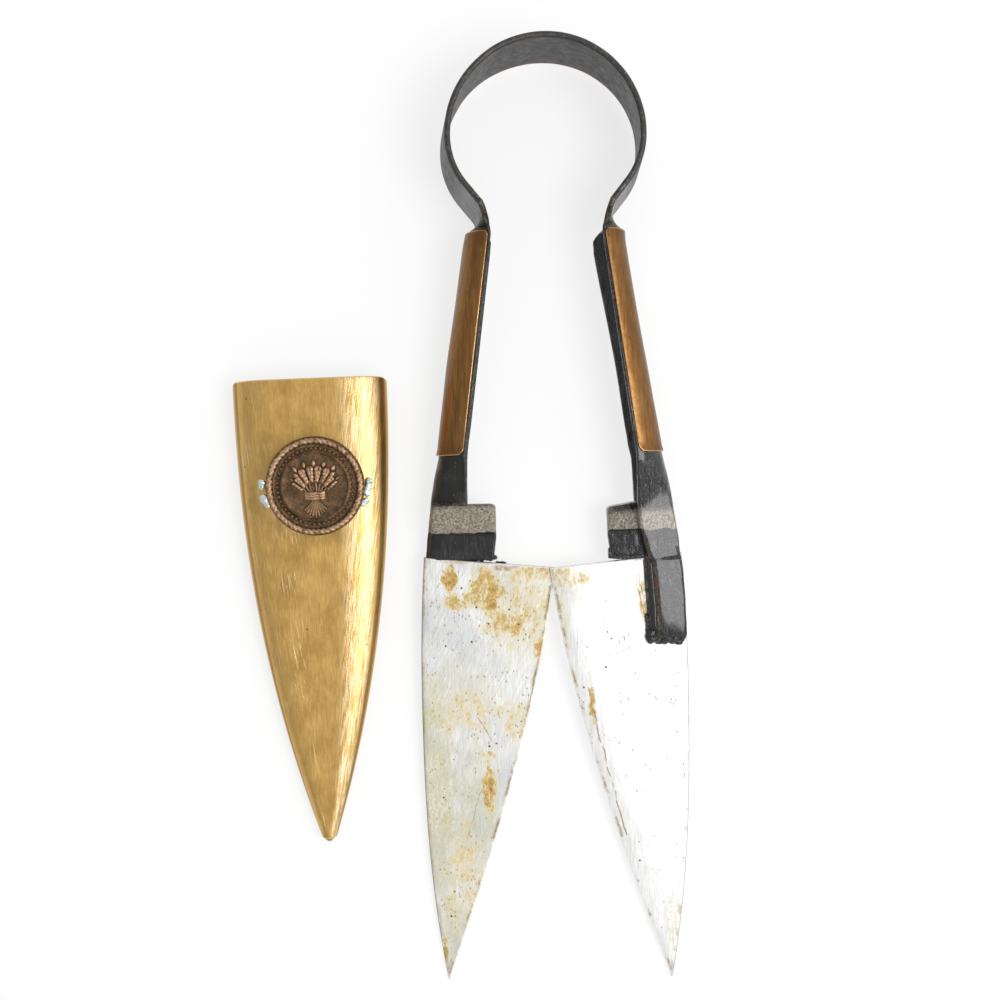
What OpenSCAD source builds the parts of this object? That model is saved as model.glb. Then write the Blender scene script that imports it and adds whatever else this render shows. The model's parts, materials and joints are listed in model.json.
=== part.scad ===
// Sheep shears with a sprung bow, and the brass sheath that covers their blades.
// Millimetres, +Z up. Shears and sheath lie side by side on the plane z = 0.
// The shears are symmetric: the left arm is the right arm turned half round about the long axis.

/* [Bow] */
// Outer radius of the bow's crown
bow_r = 34.4; // [32:0.2:37]
// Outer radius of the bow's sides, where they turn in to the neck
side_r = 26.5; // [24:0.5:29]
// How far the strap turns in before the neck, in degrees
neck_turn = 39; // [34:1:44]
// Straight length of strap between the bow and each shank
strap_run = 8; // [6:0.5:10]
// Thickness of the spring strap
strap_t = 2.1; // [1.8:0.1:2.4]
// Width of the spring strap, which stands on edge
strap_w = 31; // [29:0.5:33]

/* [Handles] */
// Outward lean of each handle, in degrees
handle_lean = 7.7; // [6:0.1:9]
// Outer radius of the half-round steel handle
handle_r = 10; // [9:0.5:10.5]
// Wall of the steel handle
handle_wall = 1.6; // [1.2:0.1:2]
// Length of the copper grip sleeve
grip_len = 78; // [70:1:79]
// Thickness of the grip sleeve
grip_t = 0.8; // [0.6:0.1:1]

/* [Blades] */
// Length of each blade from heel to tip
blade_len = 150; // [140:1:155]
// Greatest distance from the shears' middle line to a blade's back
back_x = 47.9; // [46:0.1:49]
// Thickness of a blade at its back
blade_t = 2.25; // [1.8:0.05:2.6]
// Gap between the two blades' flat faces
blade_gap = 0.3; // [0.2:0.05:0.6]
// Distance from the middle line to the face of each stop lug
lug_x = 19.8; // [19.6:0.1:22]

/* [Sheath] */
// Length of the sheath
sheath_len = 165; // [160:1:175]
// Half the width of the sheath at its mouth
sheath_half_w = 27.6; // [26:0.2:30]
// Half the thickness of the sheath at its mouth
sheath_half_t = 8.5; // [8:0.1:10]
// Thickness of the sheath's brass sheet
sheath_wall = 1; // [0.8:0.1:1.2]
// Radius of the round medallion on its front
badge_r = 17.5; // [15:0.5:18.5]

/* [Hidden] */
$fn = 96;
steel = [0.13, 0.13, 0.13];
bright = [0.80, 0.81, 0.82];
copper = [0.50, 0.34, 0.17];
brass = [0.72, 0.56, 0.27];
bronze = [0.36, 0.27, 0.17];
solder = [0.62, 0.63, 0.62];

// Places in the shears' own plane. Its origin is the bow's centre, +Y is towards the crown,
// and z = 0 is midway between the two blades.
strap_end = [bow_r - side_r + side_r * cos(neck_turn) - strap_run * sin(neck_turn),
             -side_r * sin(neck_turn) - strap_run * cos(neck_turn)];
handle_top = [19.2, -32.3];
handle_len = 78.2;
handle_end = handle_top + handle_len * [sin(handle_lean), -cos(handle_lean)];
lug_top = -126;
lug_step = -136.3;
lug_end = -146.3;
heel_x = -0.9;
heel_y = -148.8;
heel_rise = 2;
blade_z = blade_gap / 2;
tang_z = blade_z + blade_t;
tang_end = -176.6;
tip_w = 0.8;
tip_t = 1.1;

// How the shears lie: on one blade's tip and on the strap's lower edge beside both necks.
rest_y = strap_end[1];
lying_tilt = atan((strap_w / 2 - tip_t - blade_z) / (rest_y - (heel_y - blade_len)));
bow_h = -rest_y * sin(lying_tilt) + strap_w / 2 * cos(lying_tilt);
shears_at = [32.25, 131.66, bow_h];

// The sheath lies beside the blades.
sheath_at = [-53.2, 51.3, 0];
sheath_lean = 1;
sheath_taper = 5.3;
badge_from_mouth = 38;
badge_aside = 1.5;
badge_t = 1.2;
rim_t = 1.4;

// ---- lofting: rings of points with the same count, joined side by side and capped ----
module loft(rings) {
    n = len(rings[0]);
    m = len(rings);
    sides = [for (i = [0 : m - 2], j = [0 : n - 1])
        let (a = i * n + j, b = i * n + (j + 1) % n, c = b + n, d = a + n)
        each [[a, b, c], [a, c, d]]];
    polyhedron(points = [for (r = rings) each r],
               faces = concat([[for (j = [n - 1 : -1 : 0]) j]], sides,
                              [[for (j = [0 : n - 1]) (m - 1) * n + j]]));
}

// ---- frames ----
module as_lying() {
    translate(shears_at) rotate([lying_tilt, 0, 0]) children();
}

module left_side() {
    as_lying() rotate([0, 180, 0]) children();
}

module sheath_frame() {
    translate(sheath_at) rotate([0, 0, sheath_lean]) children();
}

// Lies on the sheath's sloping front, at the medallion's centre, with +Z out of the front.
module on_sheath_front() {
    sheath_frame()
        translate([badge_aside, -badge_from_mouth, 2 * sheath_q(badge_from_mouth)])
            rotate([atan(2 * sheath_taper / sheath_len), 0, 0])
                children();
}

// ---- bow ----
// The right half of the strap's path, from the crown to the neck, at a depth below its outer face.
function bow_line(depth, step = 3) = let (side_x = bow_r - side_r, r = side_r - depth) concat(
    [for (a = [90 : -step : step]) (bow_r - depth) * [cos(a), sin(a)]],
    [for (a = [0 : -step : -neck_turn]) [side_x + r * cos(a), r * sin(a)]],
    [[side_x + r * cos(neck_turn) - strap_run * sin(neck_turn),
      -r * sin(neck_turn) - strap_run * cos(neck_turn)]]);

function reversed(v) = [for (i = [len(v) - 1 : -1 : 0]) v[i]];

function mirrored(v) = [for (i = [1 : len(v) - 1]) [-v[i][0], v[i][1]]];

module bow_spring() {
    outer = bow_line(0);
    inner = bow_line(strap_t);
    color(steel) as_lying() translate([0, 0, -strap_w / 2]) linear_extrude(strap_w)
        polygon(concat(reversed(mirrored(outer)), outer, reversed(inner), mirrored(inner)));
}

// ---- shank: flat strap, curled into a half-round handle, flattened again into the tang ----
// Each station is [x, y, turn-in, depth, half height, wall, middle z, roundness, hollow].
shank_stations = let (s = handle_lean, r = handle_r, w = handle_wall, t = strap_t) [
    [strap_end[0] - t * cos(neck_turn), strap_end[1] + t * sin(neck_turn), neck_turn,
     t, strap_w / 2, t, 0, 0.3, 1],
    [20.2, -25.8, 26, 3.4, 14.8, t, 0, 0.35, 1],
    [19.4, -28.6, 8, 5.6, 13, 2, 0, 0.7, 1],
    [19.1, -30.6, -4, 8, 11, 1.8, 0, 1, 1],
    [handle_top[0], handle_top[1], -s, r - 0.3, r, w, 0, 1, 1],
    [handle_top[0] + 4 * sin(s), handle_top[1] - 4 * cos(s), -s, r, r, w, 0, 1, 1],
    [handle_end[0], handle_end[1], -s, r, r, w, 0, 1, 1],
    [29.9, -117.8, -3, 11.6, 9.2, 2.4, 0.6, 0.9, 0.85],
    [30, -125.8, 0, 13, 7.3, 3, 1.2, 0.8, 0.5],
    [30.5, -133.8, -4, 13.4, 5, 3, 2.3, 0.6, 0.15],
    [31.3, -140.8, -6, 13.5, 3.3, 2, 3.7, 0.45, 0],
    [31.9, -146.4, -6, 13.7, 3.3, 2, 3.7, 0.45, 0],
    [32, -147.1, -6, 13.8, 2.3, 1.4, tang_z + 2.3, 0.45, 0],
    [33, -161.8, -4, 13.9, 2.1, 1.3, tang_z + 2.1, 0.45, 0],
    [34, -174.4, -3, 13.3, 1.6, 1, tang_z + 1.6, 0.5, 0],
    [35, tang_end, 0, 11.6, 1, 0.6, tang_z + 1, 0.6, 0]];

function station_point(s, depth, z) =
    [s[0] + depth * cos(s[2]), s[1] - depth * sin(s[2]), s[6] + z];

function round_by(v, k) = sign(v) * pow(abs(v), k);

// A half-round ring: out along the back of the curl, home along its hollow, which stays a little dished.
function shank_ring(s, steps = 10, dish = 0.25) = concat(
    [for (i = [0 : steps]) let (a = 90 - 180 * i / steps)
        station_point(s, s[3] * round_by(cos(a), s[7]), s[4] * round_by(sin(a), s[7]))],
    [for (i = [steps : -1 : 0]) let (a = 90 - 180 * i / steps)
        station_point(s, max((s[3] - s[5]) * s[8], dish) * cos(a),
                      (s[4] - s[5]) * sin(a))]);

module shank() {
    color(steel) loft([for (s = shank_stations) shank_ring(s)]);
}

module grip() {
    clearance = 0.03;
    color(copper)
        translate([handle_top[0], handle_top[1], 0])
            rotate([0, 0, handle_lean]) rotate([90, 0, 0])
                linear_extrude(grip_len) intersection() {
                    difference() {
                        circle(handle_r + clearance + grip_t);
                        circle(handle_r + clearance);
                    }
                    translate([1.2, -20]) square([20, 40]);
                }
}

// ---- stop lug: a raised bar that meets its twin, on a plate beside the blade's heel ----
module stop_lug() {
    bar_h = 4.4;
    plate_low = 0.3;
    plate_h = 3;
    color(steel) intersection() {
        rotate([90, 0, 90]) linear_extrude(60)
            polygon([[lug_top, -1.6], [lug_top - 2.6, -3], [lug_step, -bar_h],
                     [lug_step, plate_low], [lug_end, plate_low], [lug_end, plate_h],
                     [lug_step, plate_h], [lug_step, bar_h], [lug_top - 2.6, 3],
                     [lug_top, 1.6]]);
        translate([0, 0, -10]) linear_extrude(20)
            polygon([[lug_x, lug_top], [lug_x, lug_end], [31.85, lug_end], [31.2, -140.8],
                     [30.4, -133.8], [29.95, lug_top]]);
    }
}

// ---- blade: flat inside, bevelled outside along its edge, thinner towards the tip ----
function blade_edge_x(s) = heel_x + 0.1 * s + 26.5 * pow(s / blade_len, 1.58);

function blade_back_x(s) =
    s < 50 ? back_x - 2 * pow((50 - s) / 50, 2) : back_x - 7.3 * pow((s - 50) / 100, 2.6);

function blade_ring(s) =
    let (back = blade_back_x(s),
         edge = min(blade_edge_x(s), back - tip_w),
         t = blade_t - (blade_t - tip_t) * pow(s / blade_len, 2),
         bevel = min(edge + 6, back - tip_w / 4),
         y = heel_y - s,
         y_back = y + heel_rise * (1 - s / blade_len))
    [[edge, y, blade_z], [edge, y, blade_z + 0.4], [bevel, y, blade_z + t],
     [back, y_back, blade_z + t], [back, y_back, blade_z]];

module blade() {
    steps = 30;
    color(bright) loft([for (i = [0 : steps]) blade_ring(blade_len * i / steps)]);
}

// ---- welds ----
module tang_weld() {
    bead_r = 1.1;
    color(steel) intersection() {
        translate([35.6, tang_end - bead_r, tang_z]) rotate([0, 90, 0]) cylinder(r = bead_r, h = 10.8);
        translate([30, tang_end - 5, tang_z]) cube([20, 5, 5]);
    }
}

module heel_weld() {
    gap = 0.03;
    slope = heel_rise / (blade_back_x(0) - heel_x);
    left = lug_x + 0.4;
    right = 31.8;
    color(steel) translate([0, 0, 0.4]) linear_extrude(2.6)
        polygon([[left, lug_end - gap], [right, lug_end - gap],
                 [right, heel_y + slope * (right - heel_x) + gap],
                 [left, heel_y + slope * (left - heel_x) + gap]]);
}

module left_shank() { left_side() shank(); }
module left_grip() { left_side() grip(); }
module left_stop_lug() { left_side() stop_lug(); }
module left_blade() { left_side() blade(); }
module left_tang_weld() { left_side() tang_weld(); }
module left_heel_weld() { left_side() heel_weld(); }
module right_shank() { as_lying() shank(); }
module right_grip() { as_lying() grip(); }
module right_stop_lug() { as_lying() stop_lug(); }
module right_blade() { as_lying() blade(); }
module right_tang_weld() { as_lying() tang_weld(); }
module right_heel_weld() { as_lying() heel_weld(); }

// ---- sheath: two soldered half shells that taper in width and in thickness ----
function sheath_w(s) = sheath_half_w * (1 - pow(s / (sheath_len + 7.5), 2.2));
function sheath_q(s) = sheath_half_t - sheath_taper * s / sheath_len;

// One quarter-and-quarter arch over the flat front (up = 1) or under the flat back (up = -1).
function sheath_arch(s, inset, up, steps = 6) =
    let (w = sheath_w(s) - inset, q = sheath_q(s) - inset, r = min(q, w - 0.2), mid = sheath_q(s))
    [for (side = [-1, 1], i = [0 : steps])
        let (a = side < 0 ? 180 - 90 * i / steps : 90 - 90 * i / steps)
        [side * (w - r) + r * cos(a), -s, mid + up * q * sin(a)]];

function sheath_ring(s, up) =
    let (outer = sheath_arch(s, 0, up), inner = sheath_arch(s, sheath_wall, up),
         back = [for (i = [len(inner) - 1 : -1 : 0]) inner[i]])
    up > 0 ? concat(outer, back) : concat([for (i = [len(outer) - 1 : -1 : 0]) outer[i]], inner);

module sheath_shell(up) {
    steps = 24;
    color(brass) sheath_frame()
        loft([for (i = [0 : steps]) sheath_ring(sheath_len * i / steps, up)]);
}

module sheath_front() { sheath_shell(1); }
module sheath_back() { sheath_shell(-1); }

module sheath_tip_plug() {
    from = sheath_len - 6;
    color(solder) sheath_frame()
        loft([for (i = [0 : 3]) let (s = from + 6 * i / 3, inset = sheath_wall + 0.05)
              [for (p = sheath_arch(s, inset, 1)) p,
               for (j = [13 : -1 : 0]) sheath_arch(s, inset, -1)[j] + [0, 0, -0.001]]]);
}

// ---- medallion ----
module badge_plate() {
    color(bronze) on_sheath_front() cylinder(r = badge_r, h = badge_t);
}

module badge_rim() {
    color(bronze) on_sheath_front() translate([0, 0, badge_t]) difference() {
        cylinder(r = badge_r, h = rim_t);
        translate([0, 0, -1]) cylinder(r = badge_r - 2.2, h = rim_t + 2);
    }
}

// A plain sheaf: stalks fanned above and below a tie.
module badge_sheaf() {
    color(bronze) on_sheath_front() translate([0, -1, badge_t]) linear_extrude(1.1) {
        for (a = [-30 : 15 : 30]) rotate([0, 0, a]) {
            translate([-0.8, 0]) square([1.6, 7.5]);
            translate([0, 9]) circle(1.9, $fn = 24);
            translate([-0.6, -8.5]) square([1.2, 9]);
        }
        translate([-3, -1]) square([6, 2]);
    }
}

// Solder that holds the medallion and shows beside it.
module badge_solder() {
    color(solder) on_sheath_front() for (side = [-1, 1])
        translate([side * badge_r, -2, 0]) difference() {
            cylinder(r = 2.6, h = 0.8);
            translate([-side * badge_r, 2, -1]) cylinder(r = badge_r + 0.03, h = 3);
        }
}

bow_spring();
left_shank();
left_grip();
left_stop_lug();
left_blade();
left_tang_weld();
left_heel_weld();
right_shank();
right_grip();
right_stop_lug();
right_blade();
right_tang_weld();
right_heel_weld();
sheath_front();
sheath_back();
sheath_tip_plug();
badge_plate();
badge_rim();
badge_sheaf();
badge_solder();
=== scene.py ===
import functools
import json
import math
import random

import bmesh
import bpy
from mathutils import Matrix, Vector, noise


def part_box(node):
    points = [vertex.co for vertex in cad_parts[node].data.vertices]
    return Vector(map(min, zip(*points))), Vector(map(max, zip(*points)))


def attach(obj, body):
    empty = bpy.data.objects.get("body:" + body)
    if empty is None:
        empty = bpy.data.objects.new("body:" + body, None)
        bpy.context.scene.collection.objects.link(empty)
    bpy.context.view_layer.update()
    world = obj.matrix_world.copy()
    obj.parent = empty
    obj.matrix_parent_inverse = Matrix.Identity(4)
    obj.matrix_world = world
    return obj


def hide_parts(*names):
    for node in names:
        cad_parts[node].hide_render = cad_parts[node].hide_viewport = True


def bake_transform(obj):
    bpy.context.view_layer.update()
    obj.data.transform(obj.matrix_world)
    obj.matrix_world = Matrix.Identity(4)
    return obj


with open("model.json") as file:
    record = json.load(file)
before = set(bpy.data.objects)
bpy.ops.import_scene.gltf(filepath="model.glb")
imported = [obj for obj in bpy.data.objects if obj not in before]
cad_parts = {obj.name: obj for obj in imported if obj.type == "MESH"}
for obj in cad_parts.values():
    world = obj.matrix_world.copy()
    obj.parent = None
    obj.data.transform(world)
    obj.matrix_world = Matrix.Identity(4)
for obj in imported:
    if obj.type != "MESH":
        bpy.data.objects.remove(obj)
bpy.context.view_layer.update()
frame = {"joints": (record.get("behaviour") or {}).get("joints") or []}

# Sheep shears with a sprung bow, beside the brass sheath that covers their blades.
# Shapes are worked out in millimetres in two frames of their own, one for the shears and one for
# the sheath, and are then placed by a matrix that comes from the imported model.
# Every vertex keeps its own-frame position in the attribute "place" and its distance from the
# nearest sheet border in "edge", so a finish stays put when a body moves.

MM = 0.001
FAR = 5.0               # in mm: "edge" doesn't tell distances beyond this apart

# ---------------------------------------------------------------- driving dimensions, in mm
BOW_R = 34.4            # outer radius of the bow's crown
SIDE_R = 26.5           # outer radius of its sides
NECK_TURN = 39.0        # degrees the strap turns in before the neck
STRAP_RUN = 8.0         # straight strap between bow and shank
STRAP_T = 2.1
STRAP_W = 31.0
RIM_FLARE = {"right": 1.5, "left": 2.9}   # how far the bow's lower rim stands outside its upper rim

HANDLE_TOP = (19.2, -32.3)
HANDLE_LEAN = 7.7
HANDLE_LEN = 78.2
HANDLE_R = 10.0
HANDLE_WALL = 1.6
HANDLE_OPEN = {"right": (2.0, 2.3, 2.0, 1.2, 0.3), "left": (1.5, 1.2, 0.7, 0.0, 0.0)}
HANDLE_AT = (0, 4, 25, 50, 78.2)        # where along the handle its curl is opened by that much
GRIP_LEN = 78.0
GRIP_T = 0.8
GRIP_GAP = 0.03
GRIP_CORNER = 1.6
GRIP_ASKEW = 10         # degrees its ends are cut off square

BLADE_LEN = 150.0
BLADE_T = 2.25
BLADE_TIP_T = 1.1
BLADE_Z = 0.15          # each blade's flat face stands this far from the plane between them
BLADE_BACK = 47.9
HEEL_X = -0.9
HEEL_Y = -149.5
HEEL_RISE = 4.6
TIP_W = 0.8
TANG_Z = BLADE_Z + BLADE_T
TANG_END = -175.4
HONED_T = 0.42          # what is left of the thickness at the cutting edge
HOLLOW_W = 9.0          # the hollow grind behind that edge
NICKS = 26

LUG_X = 19.8
LUG_TOP = -126.0
LUG_STEP = -136.3
LUG_MEET = -138.4       # below this the closed plates would pass the middle, so they draw back
LUG_DRAW_BACK = 0.134   # by this much for each mm
LUG_CORNER = 1.8
LUG_END = -146.3
LUG_BAR = 4.4
PLATE_HIGH = 2.6

SHEATH_LEN = 165.0
SHEATH_HALF_W = 27.6
SHEATH_HALF_T = 8.5
SHEATH_THIN = 5.3       # how much of that half thickness is gone at the tip
SHEATH_WALL = 1.0
SHEATH_END = SHEATH_LEN + 7.5   # where its sides would come to a point
SHEATH_CORNER = 1.5
SHEATH_SWELL = 3.6      # how far its front falls away at its sides
BADGE_FROM_MOUTH = 38.0
BADGE_ASIDE = 1.5
BADGE_R = 17.5
BEAD_RING_R = 13.4
ROPE_R = 16.1
ROPE_THICK = 1.35
SHEAF_TIE_Y = -3.4

PIVOT_AHEAD = 11.0      # the hinge axes lie this far towards the crown from the bow's centre


# ---------------------------------------------------------------- frames
JOINTS = {j["name"]: j for j in frame["joints"]}


def shears_frame():
    """The matrix from the shears' own millimetres to the model, from the two hinges."""
    left = Vector(JOINTS["left_arm_close"]["pos_m"])
    right = Vector(JOINTS["right_arm_close"]["pos_m"])
    up = Vector(JOINTS["left_arm_close"]["axis"]).normalized()
    across = (right - left).normalized()
    along = up.cross(across)
    origin = (left + right) / 2 - along * PIVOT_AHEAD * MM
    turn = Matrix((across, along, up)).transposed().to_4x4()
    return Matrix.Translation(origin) @ turn @ Matrix.Scale(MM, 4)


def sheath_frame():
    """The same for the sheath: +Y out of its mouth, its back at z = 0."""
    axis = -Vector(JOINTS["sheath_draw"]["axis"]).normalized()
    lean = math.atan2(-axis.x, axis.y)
    low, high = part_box("sheath_front")
    x = low.x + SHEATH_HALF_W * math.cos(lean) * MM
    y = high.y - SHEATH_HALF_W * math.sin(abs(lean)) * MM
    place = Matrix.Translation((x, y, 0)) @ Matrix.Rotation(lean, 4, "Z")
    return place @ Matrix.Scale(MM, 4)


RIGHT = shears_frame()
LEFT = RIGHT @ Matrix.Rotation(math.pi, 4, "Y")
SHEATH = sheath_frame()
ARMS = {"right": RIGHT, "left": LEFT}


# ---------------------------------------------------------------- small maths
def clamp(v, low=0.0, high=1.0):
    return max(low, min(high, v))


def lerp(a, b, t):
    return a + (b - a) * t


def ease(v, low, high):
    """0 below low, 1 above high, smooth between; low may be the larger one."""
    t = clamp((v - low) / (high - low))
    return t * t * (3 - 2 * t)


def wobble(p, scale, seed=0.0):
    """Smooth noise from -1 to 1 with features about scale mm across."""
    return noise.noise(Vector(p) / scale + Vector((seed, seed * 1.7, seed * 0.6)))


def monotone(xs, ys):
    """A monotone cubic through the points, as a function."""
    h = [b - a for a, b in zip(xs, xs[1:])]
    d = [(b - a) / k for a, b, k in zip(ys, ys[1:], h)]
    m = [d[0]] + [0 if a * b <= 0 else 2 * a * b / (a + b) for a, b in zip(d, d[1:])] + [d[-1]]

    def value(x):
        i = max(0, min(len(h) - 1, next((k for k, v in enumerate(xs[1:]) if x <= v), len(h) - 1)))
        t = clamp((x - xs[i]) / h[i])
        a = (1 + 2 * t) * (1 - t) ** 2
        b = t * (1 - t) ** 2
        c = t * t * (3 - 2 * t)
        e = t * t * (t - 1)
        return a * ys[i] + b * h[i] * m[i] + c * ys[i + 1] + e * h[i] * m[i + 1]

    return value


def steps(a, b, n):
    return [lerp(a, b, i / n) for i in range(n + 1)]


def corner_cut(radius, away):
    """How far a rounded corner draws a border back, away mm from the border beside it."""
    return radius - math.sqrt(max(0, radius ** 2 - max(0, radius - away) ** 2))


# ---------------------------------------------------------------- meshes
def link(name, data):
    obj = bpy.data.objects.new(name, data)
    bpy.context.scene.collection.objects.link(obj)
    return obj


def from_bmesh(name, bm):
    mesh = bpy.data.meshes.new(name)
    bm.to_mesh(mesh)
    bm.free()
    return link(name, mesh)


def store(mesh, points, edges=None):
    """What the finishes read: each vertex's own-frame position and distance from a border."""
    place = mesh.attributes.new("place", "FLOAT_VECTOR", "POINT")
    place.data.foreach_set("vector", [c for p in points for c in p])
    edge = mesh.attributes.new("edge", "FLOAT", "POINT")
    edge.data.foreach_set("value", edges or [FAR] * len(points))


def new_object(name, points, faces, matrix, edges=None, angle=34):
    """A smooth-shaded mesh from own-frame points, with its "place" and "edge" attributes."""
    mesh = bpy.data.meshes.new(name)
    mesh.from_pydata([matrix @ Vector(p) for p in points], [], faces)
    store(mesh, points, edges)
    bm = bmesh.new()
    bm.from_mesh(mesh)
    bmesh.ops.recalc_face_normals(bm, faces=bm.faces)
    bm.to_mesh(mesh)
    bm.free()
    mesh.shade_smooth()
    mesh.set_sharp_from_angle(angle=math.radians(angle))
    return link(name, mesh)


def soften_start(pairs):
    """Rounds the first border of a row of (outer, inner) pairs."""
    a, b = pairs[0]
    mid = (a + b) / 2
    half = (a - b) / 2
    gap = mid - (pairs[1][0] + pairs[1][1]) / 2
    reach = min(half.length * 0.9, gap.length * 0.85)
    out = gap.normalized()
    border = [(mid + half * k - out * reach * back, mid - half * k - out * reach * back)
              for k, back in ((0.30, 0.0), (0.70, 0.26), (0.93, 0.62))]
    return border + [(a - out * reach * 1.05, b - out * reach * 1.05)] + pairs[1:]


def soften_row(pairs, first=True, last=True):
    if first:
        pairs = soften_start(pairs)
    if last:
        pairs = soften_start(pairs[::-1])[::-1]
    return pairs


def soften(grid, left=True, right=True, start=True, end=True):
    """Rounds the four borders of a grid of (outer, inner) pairs."""
    rows = [soften_row(row, left, right) for row in grid]
    columns = [soften_row(list(column), start, end) for column in zip(*rows)]
    return [list(row) for row in zip(*columns)]


def border_distance(line, first, last):
    """Each point's distance in mm along a line from its ends, ignoring an end that isn't a border."""
    mids = [(a + b) / 2 for a, b in line]
    run = [0.0]
    for p, q in zip(mids, mids[1:]):
        run.append(run[-1] + (q - p).length)
    far = 99.0
    return [min(r if first else far, run[-1] - r if last else far) for r in run]


def sheet(name, grid, matrix, borders=(True, True, True, True), round_off=True, angle=34):
    """A closed mesh from rows of (outer, inner) pairs. borders: left, right, start, end."""
    if round_off:
        grid = soften(grid, *borders)
    rows, cols = len(grid), len(grid[0])
    across = [border_distance(row, borders[0], borders[1]) for row in grid]
    along = [border_distance([row[j] for row in grid], borders[2], borders[3]) for j in range(cols)]
    near = [min(FAR, across[i][j], along[j][i]) for i in range(rows) for j in range(cols)]
    n = rows * cols
    points = [p[0] for row in grid for p in row] + [p[1] for row in grid for p in row]
    faces = []
    for i in range(rows - 1):
        for j in range(cols - 1):
            a = i * cols + j
            faces.append((a, a + 1, a + cols + 1, a + cols))
            faces.append((a + n, a + cols + n, a + cols + 1 + n, a + 1 + n))
    for i in range(rows - 1):
        for j in (0, cols - 1):
            a = i * cols + j
            faces.append((a, a + cols, a + cols + n, a + n))
    for j in range(cols - 1):
        for i in (0, rows - 1):
            a = i * cols + j
            faces.append((a, a + n, a + 1 + n, a + 1))
    return new_object(name, points, faces, matrix, near + near, angle)


def settle(obj):
    """Turns an object's modifiers into plain mesh."""
    depsgraph = bpy.context.evaluated_depsgraph_get()
    mesh = bpy.data.meshes.new_from_object(obj.evaluated_get(depsgraph))
    old = obj.data
    obj.modifiers.clear()
    obj.data = mesh
    bpy.data.meshes.remove(old)


def lumps(name, matrix, centres, voxel, roughness, seed, limits, inner_x=-99.0):
    """Molten metal: overlapping uneven balls, (centre, radii), fused into one skin in mm.
    limits holds its z between two values; inner_x keeps its x above one."""
    bm = bmesh.new()
    for centre, radii in centres:
        made = bmesh.ops.create_icosphere(bm, subdivisions=3, radius=1)["verts"]
        for v in made:
            push = 1 + 0.16 * wobble(v.co, 0.7, seed + centre[0])
            v.co = Vector((v.co.x * radii[0], v.co.y * radii[1], v.co.z * radii[2])) * push
            v.co += Vector(centre)
    obj = from_bmesh(name, bm)
    remesh = obj.modifiers.new("fuse", "REMESH")
    remesh.mode = "VOXEL"
    remesh.voxel_size = voxel
    ease_out = obj.modifiers.new("smooth", "SMOOTH")
    ease_out.factor = 0.5
    ease_out.iterations = 4
    settle(obj)
    own = []
    for v in obj.data.vertices:
        p = v.co.copy()
        p += v.normal * roughness * wobble(p, 1.1, seed)
        p.z = clamp(p.z, *limits)
        p.x = max(p.x, inner_x)
        own.append(p)
    for v, p in zip(obj.data.vertices, own):
        v.co = matrix @ p
    store(obj.data, own)
    obj.data.shade_smooth()
    return obj


def join(name, objects):
    """One object from several with the same attributes."""
    bm = bmesh.new()
    for o in objects:
        bm.from_mesh(o.data)
        bpy.data.objects.remove(o)
    obj = from_bmesh(name, bm)
    obj.data.shade_smooth()
    obj.data.set_sharp_from_angle(angle=math.radians(40))
    return obj


def hand_in(obj, material, node, body=None):
    """Gives a piece its finish, and says which CAD node it replaces and which body it rides on."""
    obj.data.materials.clear()
    obj.data.materials.append(material)
    if body:
        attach(obj, body)
    if node:
        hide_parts(node)


# ---------------------------------------------------------------- shader building
class Patterns:
    """Builds shader nodes in one node tree. Any value may be a number, a colour or a socket."""

    def __init__(self, tree):
        self.tree = tree

    def node(self, kind, *values, **settings):
        made = self.tree.nodes.new(kind)
        for key, value in settings.items():
            setattr(made, key, value)
        for socket, value in zip(made.inputs, values):
            self.feed(socket, value)
        return made

    def feed(self, socket, value):
        if isinstance(value, bpy.types.NodeSocket):
            self.tree.links.new(value, socket)
        elif isinstance(value, tuple) and socket.type == "RGBA":
            socket.default_value = (*value, 1)
        else:
            socket.default_value = value

    def feed_named(self, made, **values):
        for key, value in values.items():
            self.feed(made.inputs[key.replace("_", " ")], value)

    def math(self, operation, a, b=0.0):
        return self.node("ShaderNodeMath", a, b, operation=operation).outputs[0]

    def plus(self, a, b):
        return self.math("ADD", a, b)

    def minus(self, a, b):
        return self.math("SUBTRACT", a, b)

    def times(self, a, b):
        return self.math("MULTIPLY", a, b)

    def over(self, a, b):
        return self.math("DIVIDE", a, b)

    def ramp(self, value, low, high, to_low=0.0, to_high=1.0):
        """A soft step from one level to another as value passes from low to high."""
        made = self.node("ShaderNodeMapRange", value, low, high, to_low, to_high,
                         interpolation_type="SMOOTHSTEP")
        return made.outputs[0]


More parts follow.
